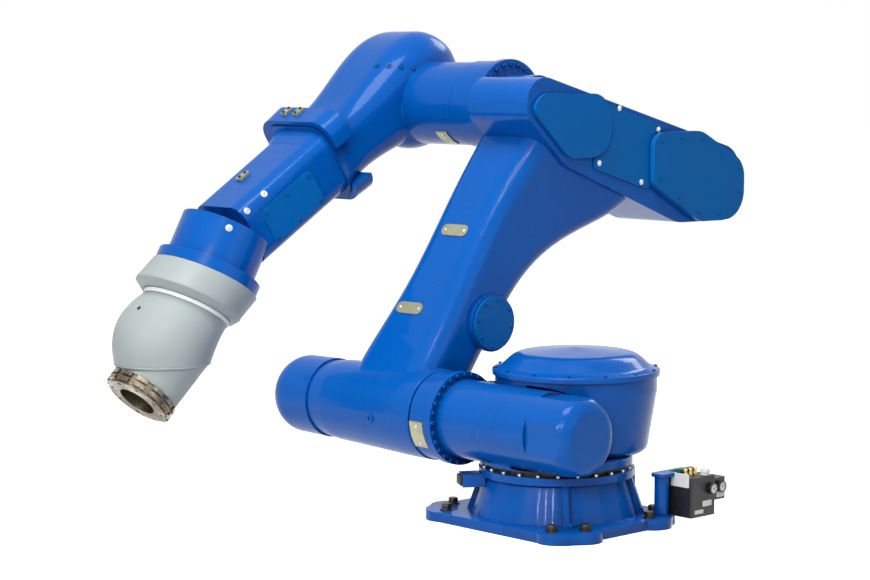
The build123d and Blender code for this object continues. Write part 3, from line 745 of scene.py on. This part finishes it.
# Screws in rings: those of the swing bearing, the shoulder flange and the elbow flange
ringScrews = {
    "baseRingScrews": {"node": "base_flange_bolts", "body": "base", "axis": (0, 0, 1), "count": 24,
                       "radius": 0.005, "height": 0.006, "finish": "zincWhite", "slot": "zinc"},
    "shoulderRingScrews": {"node": "shoulder_flange_bolts", "body": "swivel", "axis": (0, 1, 0), "count": 28,
                           "radius": 0.0055, "height": 0.008, "finish": "castingBlue", "slot": "blue_paint"},
    "elbowRingScrews": {"node": "elbow_flange_bolts", "body": "lower_arm", "axis": (0, 1, 0), "count": 24,
                        "radius": 0.006, "height": 0.008, "finish": "castingBlue", "slot": "blue_paint"},
}
# How far each screw is turned against the one before, in radians
screwTurn = {"ring": 1.7, "set": 1.3}


def makeRingScrews(name, ring):
    low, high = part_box(ring["node"])
    middle = (low + high) / 2
    axis = Vector(ring["axis"])
    base = middle - axis * abs((high - low).dot(axis)) / 2
    across = Vector((1, 0, 0))
    reach = abs((high - low).dot(across)) / 2 - ring["radius"]
    bm = bmesh.new()
    for index in range(ring["count"]):
        angle = math.tau * index / ring["count"]
        place = frameAt(base, axis, across) @ Matrix.Rotation(angle, 4, "Z")
        place = place @ Matrix.Translation((reach, 0, 0)) @ Matrix.Rotation(index * screwTurn["ring"], 4, "Z")
        addCapScrew(bm, place, ring["radius"], ring["height"])
    piece = makePiece(name, bm, ring["finish"], ring["body"])
    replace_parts(piece, ring["node"])


makeAnchorBolts()
for name, ring in ringScrews.items():
    makeRingScrews(name, ring)
print("ring screws in place")

# Places shared by several pieces, in metres as the frame has them
marks = {
    "shoulder": (0.156, 0, 0.263), "elbow": (-0.320779, 0, 1.078909), "lean": 30.3,
    "forearm": (-0.320779, -0.930, 1.124909), "forearmPitch": 32.5,
    "toolPitch": 47.0, "bend": (0.591674, -0.930, 0.374357), "nose": 0.092,
}


def slopeDown(angle):
    return Vector((math.cos(math.radians(angle)), 0, -math.sin(math.radians(angle))))


armFront = slopeDown(-marks["lean"])
armUp = Vector((-armFront.z, 0, armFront.x))
forearmAlong = slopeDown(marks["forearmPitch"])
forearmUp = Vector((-forearmAlong.z, 0, forearmAlong.x))
toolAlong = slopeDown(marks["toolPitch"])
facesLeft = Vector((0, 1, 0))


def onForearm(along, up, side):
    return Vector(marks["forearm"]) + forearmAlong * along + forearmUp * up + Vector((0, side, 0))


washerBore = 0.6


# Screws of one kind on one body, from a list of (point, direction).
def makeScrews(name, places, screw, body, finish="zincWhite"):
    bm = bmesh.new()
    for index, (point, direction) in enumerate(places):
        place = frameAt(point, direction) @ Matrix.Rotation(index * screwTurn["set"], 4, "Z")
        if "washer" in screw:
            addRing(bm, place, screw["washer"], screw["radius"] * washerBore, screw["lift"])
            place = place @ Matrix.Translation((0, 0, screw["lift"]))
        addScrew = addCapScrew if screw["kind"] == "cap" else addButtonScrew
        addScrew(bm, place, screw["radius"], screw["height"])
    return makePiece(name, bm, finish, body)


# Elbow head: screws with pale washers on the middle cover, and small ones round the rear cover
headScrews = {
    "face": -0.211, "places": ((-0.144, -0.008), (-0.309, -0.071), (-0.063, -0.159), (-0.238, -0.218)),
    "screw": {"kind": "button", "radius": 0.005, "height": 0.0042, "washer": 0.0082, "lift": 0.0016},
    "rearFace": -0.194,
    "rearPlaces": ((-0.305, -0.104), (-0.392, -0.098), (-0.482, -0.100), (-0.568, -0.139), (-0.646, -0.192),
                   (-0.648, -0.262), (-0.636, -0.314), (-0.560, -0.322), (-0.470, -0.314), (-0.385, -0.268),
                   (-0.300, -0.212)),
    "small": {"kind": "cap", "radius": 0.0042, "height": 0.0034},
}


def elbowPoint(x, z, y):
    return Vector((marks["elbow"][0] + x, y, marks["elbow"][2] + z))


coverScrews = makeScrews("elbowCoverScrews", [
    (elbowPoint(x, z, headScrews["face"]), facesLeft) for x, z in headScrews["places"]],
    headScrews["screw"], "lower_arm")
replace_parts(coverScrews, "elbow_cover_screws")
makeScrews("rearCoverScrews", [
    (elbowPoint(x, z, headScrews["rearFace"]), facesLeft) for x, z in headScrews["rearPlaces"]],
    headScrews["small"], "lower_arm", "coverBlue")

# Lower arm: screws of the round side cover and of the two oval plates
sideCover = {
    "up": 0.300, "back": 0.058, "face": -0.278, "circle": 0.063, "count": 8, "start": 0.2,
    "screw": {"kind": "cap", "radius": 0.0046, "height": 0.0042},
}
coverMiddle = Vector(marks["shoulder"]) + armUp * sideCover["up"] - armFront * sideCover["back"]
coverPlaces = []
for index in range(sideCover["count"]):
    angle = math.tau * index / sideCover["count"] + sideCover["start"]
    coverPlaces.append((Vector((coverMiddle.x + sideCover["circle"] * math.cos(angle), sideCover["face"],
                                coverMiddle.z + sideCover["circle"] * math.sin(angle))), facesLeft))
makeScrews("sideCoverScrews", coverPlaces, sideCover["screw"], "lower_arm", "coverBlue")

armPlates = {
    "face": 0.098, "reach": 0.036, "places": ((0.256, -0.452), (0.498, -0.402)),
    "screw": {"kind": "button", "radius": 0.0046, "height": 0.0026},
}
makeScrews("armPlateScrews", [
    (Vector((marks["shoulder"][0], y + side * armPlates["reach"], marks["shoulder"][2]))
     + armUp * up + armFront * armPlates["face"], armFront)
    for up, y in armPlates["places"] for side in (-1, 1)], armPlates["screw"], "lower_arm")

# Index plates bent round the joints: two screws each
indexPlates = {
    "shoulder": {"side": -0.246, "radius": 0.122, "angle": -19, "spread": 12, "body": "swivel"},
    "elbow": {"side": -0.690, "radius": 0.123, "angle": -56, "spread": 10, "body": "forearm"},
}
indexScrew = {"kind": "button", "radius": 0.0042, "height": 0.0024}


def onPlate(joint, turn):
    plate = indexPlates[joint]
    angle = math.radians(plate["angle"] + turn)
    away = Vector((math.cos(angle), 0, math.sin(angle)))
    return Vector((marks[joint][0], plate["side"], marks[joint][2])) + away * plate["radius"], away


for joint, plate in indexPlates.items():
    makeScrews(joint + "IndexScrews", [onPlate(joint, side * plate["spread"]) for side in (-1, 1)],
               indexScrew, plate["body"])

# Forearm: screws seen in the photograph, set on the casting by their pixels
forearmSeen = {
    "hump": ((377, 66), (389, 66), (401, 67), (413, 68)),
    "pale": ((264, 194), (247, 211), (229, 228)),
    "humpScrew": {"kind": "cap", "radius": 0.0062, "height": 0.003, "washer": 0.0095, "lift": 0.0012},
    "paleScrew": {"kind": "button", "radius": 0.0064, "height": 0.004, "washer": 0.0098, "lift": 0.0014},
}
makeScrews("humpScrews", [seenAt("forearm_casting", *pixel) for pixel in forearmSeen["hump"]],
           forearmSeen["humpScrew"], "forearm", "castingBlue")
makeScrews("paleScrews", [seenAt("forearm_casting", *pixel) for pixel in forearmSeen["pale"]],
           forearmSeen["paleScrew"], "forearm")

forearmBlocks = {
    "places": ((0.367, 0.157, -0.092), (0.367, 0.157, -0.040), (0.640, 0.1205, -0.032)), "reach": 0.011,
    "screw": {"kind": "cap", "radius": 0.0044, "height": 0.0036},
    "cover": (0.620, 0.006, 0.100), "coverReach": (0.092, 0.043),
    "coverScrew": {"kind": "cap", "radius": 0.0052, "height": 0.0046},
}
makeScrews("forearmBlockScrews", [
    (onForearm(along + side * forearmBlocks["reach"], up, y), forearmUp)
    for along, up, y in forearmBlocks["places"] for side in (-1, 1)],
    forearmBlocks["screw"], "forearm", "blackSteel")
coverAlong, coverUp, coverSide = forearmBlocks["cover"]
makeScrews("sidePlateScrews", [
    (onForearm(coverAlong + sideX * forearmBlocks["coverReach"][0],
               coverUp + sideZ * forearmBlocks["coverReach"][1], coverSide), facesLeft)
    for sideX in (-1, 0, 1) for sideZ in (-1, 1)],
    forearmBlocks["coverScrew"], "forearm", "coverBlue")
print("arm screws in place")

# Wrist: a lip above the bend seam, a plug on the barrel, and a black disc in the flange's bore as painted
# shade
lip = {"outer": 0.1328, "inner": 0.120, "height": 0.0045, "lift": 0.0065, "steps": 96}
bm = bmesh.new()
addRing(bm, frameAt(Vector(marks["bend"]) + Vector((0, 0, lip["lift"])), (0, 0, -1)),
        lip["outer"], lip["inner"], lip["height"], lip["steps"])
makePiece("bendLip", bm, "wristGrey", "wrist_barrel")

barrelPlug = {"pixel": (139, 308), "radius": 0.0062, "height": 0.0014}
bm = bmesh.new()
addButtonScrew(bm, frameAt(*seenAt("wrist_barrel", *barrelPlug["pixel"])),
               barrelPlug["radius"], barrelPlug["height"])
makePiece("barrelPlug", bm, "blackMoulded", "wrist_barrel")

# Black disc in the flange's bore: painted shade of the hole
bore = {"radius": 0.0536, "lift": 0.0012, "height": 0.002,
        "profile": ((1, 0), (1, 1), (0.92, 0.6), (0.3, 0.6))}
bm = bmesh.new()
addTurned(bm, frameAt(Vector(marks["bend"]) + toolAlong * (marks["nose"] + bore["lift"]), toolAlong),
          scaled(bore["profile"], bore["radius"], bore["height"]), 48)
makePiece("boreShadeDisc", bm, "blackMoulded", "tool_flange")
print("wrist pieces made")

# Small bosses set by their pixels: a plugged one on the hub, and a block by a foot lug
hubBoss = {
    "pixel": (370, 418), "radius": 0.013, "height": 0.005, "sink": 0.002, "dome": 0.001, "socketRim": 0.0006,
    "socket": 0.9, "top": (0.92, 0.62), "socketFloor": 0.5, "drill": (0.1, 0.4),
}
bm = bmesh.new()
bossPoint, bossNormal = seenAt("lower_arm_casting", *hubBoss["pixel"])
radius, height = hubBoss["radius"], hubBoss["height"]
socket, domeTop = hexagon(radius * hubBoss["socket"]), height + hubBoss["dome"]
addTurned(bm, frameAt(bossPoint - bossNormal * hubBoss["sink"], bossNormal), [
    (radius, 0), (radius, height), *((radius * share, domeTop) for share in hubBoss["top"]),
    (socket, height + hubBoss["socketRim"]), (socket, height * hubBoss["socketFloor"]),
    (radius * hubBoss["drill"][0], height * hubBoss["drill"][1])], 36)
makePiece("hubBoss", bm, "castingBlue", "lower_arm")

footBlock = {"pixel": (573, 527), "size": (0.030, 0.018, 0.009), "corner": 0.003, "chamfer": 0.0012}
bm = bmesh.new()
addBlock(bm, frameAt(*seenAt("base_casting", *footBlock["pixel"]), (1, 0, 0)),
         footBlock["size"], footBlock["corner"], footBlock["chamfer"])
makePiece("footBlock", bm, "coverBlue", "base")
print("small bosses made")

# Swivel cover: small screws round its lip
lipScrews = {
    "centre": (-0.072, 0, 0.382), "radius": 0.213, "level": 0.0172, "count": 14, "slant": (0.316, 0.949),
    "screw": {"kind": "cap", "radius": 0.0045, "height": 0.0034},
}
lipPlaces = []
for index in range(lipScrews["count"]):
    angle = math.tau * (index + 0.5) / lipScrews["count"]
    away = Vector((math.cos(angle), math.sin(angle), 0))
    point = Vector(lipScrews["centre"]) + away * lipScrews["radius"] + Vector((0, 0, lipScrews["level"]))
    lipPlaces.append((point, away * lipScrews["slant"][0] + Vector((0, 0, lipScrews["slant"][1]))))
makeScrews("swivelCoverScrews", lipPlaces, lipScrews["screw"], "swivel", "castingBlue")

# Foot: rubber end on the swing stop
stopEnd = {"angle": -32, "reach": 0.257, "level": 0.115, "size": (0.046, 0.026, 0.007), "corner": 0.004,
           "chamfer": 0.0015}
bm = bmesh.new()
stopTurn = math.radians(stopEnd["angle"])
stopAway = Vector((math.cos(stopTurn), math.sin(stopTurn), 0))
stopPlace = frameAt(stopAway * stopEnd["reach"] + Vector((0, 0, stopEnd["level"])), stopAway,
                    (-stopAway.y, stopAway.x, 0))
addBlock(bm, stopPlace, stopEnd["size"], stopEnd["corner"], stopEnd["chamfer"])
makePiece("stopBuffer", bm, "blackRubber", "base")

# Air set: bare labels set by their pixels, gauges with dials, brass fittings with green tubes, and the plug
labels = {
    "side": {"node": "regulator_block", "pixel": (680, 480), "size": (0.062, 0.036), "across": (0, 1, 0)},
    "front": {"node": "regulator_block", "pixel": (707, 503), "size": (0.036, 0.015), "across": (1, 0, 0)},
    "low": {"node": "regulator_block", "pixel": (699, 512), "size": (0.034, 0.010), "across": (1, 0, 0)},
    "filter": {"node": "filter_block", "pixel": (720, 494), "size": (0.030, 0.014), "across": (1, 0, 0)},
}
labelEdge = {"height": 0.0009, "corner": 0.002, "chamfer": 0.0003}
bm = bmesh.new()
for label in labels.values():
    place = frameAt(*seenAt(label["node"], *label["pixel"]), label["across"])
    addBlock(bm, place, (*label["size"], labelEdge["height"]), labelEdge["corner"], labelEdge["chamfer"])
makePiece("bareLabels", bm, "paleMoulded", "base")

gauges = {
    "places": ((-0.248, 0.320, 0.094), (-0.289, 0.315, 0.094)), "radius": 0.015, "depth": 0.012,
    "body": ((0.82, 0), (0.82, 0.35), (1, 0.42), (1, 0.93), (0.94, 1), (0.85, 1), (0.82, 0.80)),
    "dial": 0.0122, "dialLevel": 0.0098, "dialThick": 0.0006, "dialEdge": 0.0005, "dialTop": 0.97,
    "hub": ((0.0018, 0), (0.0018, 0.0008), (0.0010, 0.0011)),
}
ticks = {"count": 11, "sweep": (-135, 135), "upward": 90, "circle": 0.82, "length": 0.0026,
         "longLength": 0.0036, "longEvery": 5, "section": (0.0006, 0.0002), "corner": 0.0002,
         "chamfer": 0.00005}
needle = {"angle": 32, "middle": 0.0035, "level": 0.0004, "size": (0.0125, 0.0008, 0.0003), "corner": 0.0003,
          "chamfer": 0.0001}
inkSteps = 2
bodyMesh, dialMesh, inkMesh = bmesh.new(), bmesh.new(), bmesh.new()
for gaugePlace in gauges["places"]:
    place = frameAt(gaugePlace, facesLeft, (-1, 0, 0))
    addTurned(bodyMesh, place, scaled(gauges["body"], gauges["radius"], gauges["depth"]), 40)
    dial = gauges["dial"]
    addTurned(dialMesh, place @ Matrix.Translation((0, 0, gauges["dialLevel"])), [
        (dial, 0), (dial, gauges["dialEdge"]), (dial * gauges["dialTop"], gauges["dialThick"])], 40)
    face = place @ Matrix.Translation((0, 0, gauges["dialLevel"] + gauges["dialThick"]))
    low, high = ticks["sweep"]
    for tick in range(ticks["count"]):
        angle = math.radians(low + (high - low) * tick / (ticks["count"] - 1) + ticks["upward"])
        spot = face @ Matrix.Rotation(angle, 4, "Z") @ Matrix.Translation((dial * ticks["circle"], 0, 0))
        length = ticks["length"] if tick % ticks["longEvery"] else ticks["longLength"]
        addBlock(inkMesh, spot, (length, *ticks["section"]), ticks["corner"], ticks["chamfer"], inkSteps)
    spot = face @ Matrix.Rotation(math.radians(needle["angle"]), 4, "Z")
    spot = spot @ Matrix.Translation((needle["middle"], 0, needle["level"]))
    addBlock(inkMesh, spot, needle["size"], needle["corner"], needle["chamfer"], inkSteps)
    addTurned(inkMesh, face, gauges["hub"], 16)
gaugeBodies = makePiece("gaugeBodies", bodyMesh, "blackMoulded", "base")
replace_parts(gaugeBodies, "pressure_gauges")
makePiece("gaugeDials", dialMesh, "dialFace", "base")
makePiece("gaugeMarks", inkMesh, "dialInk", "base")

fittings = {
    "places": (-0.186, -0.205, -0.224), "side": 0.2845, "floor": 0.128, "flats": 0.0138, "nut": 0.009,
    "nutEdge": 0.001, "nutTop": 0.46, "stem": 0.0048,
    "neck": ((0.0048, 0.0135), (0.006, 0.0145), (0.006, 0.0195), (0.005, 0.0205)),
}
# Each row of the run: along, across, level, and how much further along each next tube is
tubes = {
    "radius": 0.003,
    "run": ((0, 0, 0.143, 0), (0, -0.008, 0.146, 0), (0.004, -0.018, 0.1455, 0),
            (0.008, -0.030, 0.1415, 0.003), (0.010, -0.040, 0.1365, 0.004)),
}
brassMesh, tubeMesh = bmesh.new(), bmesh.new()
for index, x in enumerate(fittings["places"]):
    place = frameAt((x, fittings["side"], fittings["floor"]), (0, 0, 1), (1, 0, 0))
    flats, nut = hexagon(fittings["flats"]), fittings["nut"]
    addTurned(brassMesh, place, [
        (flats, 0), (flats, nut - fittings["nutEdge"]), (fittings["flats"] * fittings["nutTop"], nut)])
    addTurned(brassMesh, place, [(fittings["stem"], nut), *fittings["neck"]])
    addTube(tubeMesh, smoothRun([(x + along + spread * index, fittings["side"] + across, level)
                                 for along, across, level, spread in tubes["run"]]), tubes["radius"])
brassPiece = makePiece("brassFittings", brassMesh, "turnedBrass", "base")
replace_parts(brassPiece, "air_fittings")
makePiece("greenTubes", tubeMesh, "greenTube", "base")

plug = {
    "place": (-0.244, 0.3025, 0.128), "radius": 0.013, "height": 0.016,
    "profile": ((1, 0), (1, 0.22), (0.86, 0.28), (0.86, 0.42), (0.98, 0.48), (0.98, 0.86), (0.9, 1), (0.5, 1),
                (0.46, 0.8)),
}
bm = bmesh.new()
addTurned(bm, frameAt(plug["place"], (0, 0, 1)), scaled(plug["profile"], plug["radius"], plug["height"]), 36)
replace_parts(makePiece("airPlug", bm, "paleMoulded", "base"), "air_plug")
print("air set dressed")
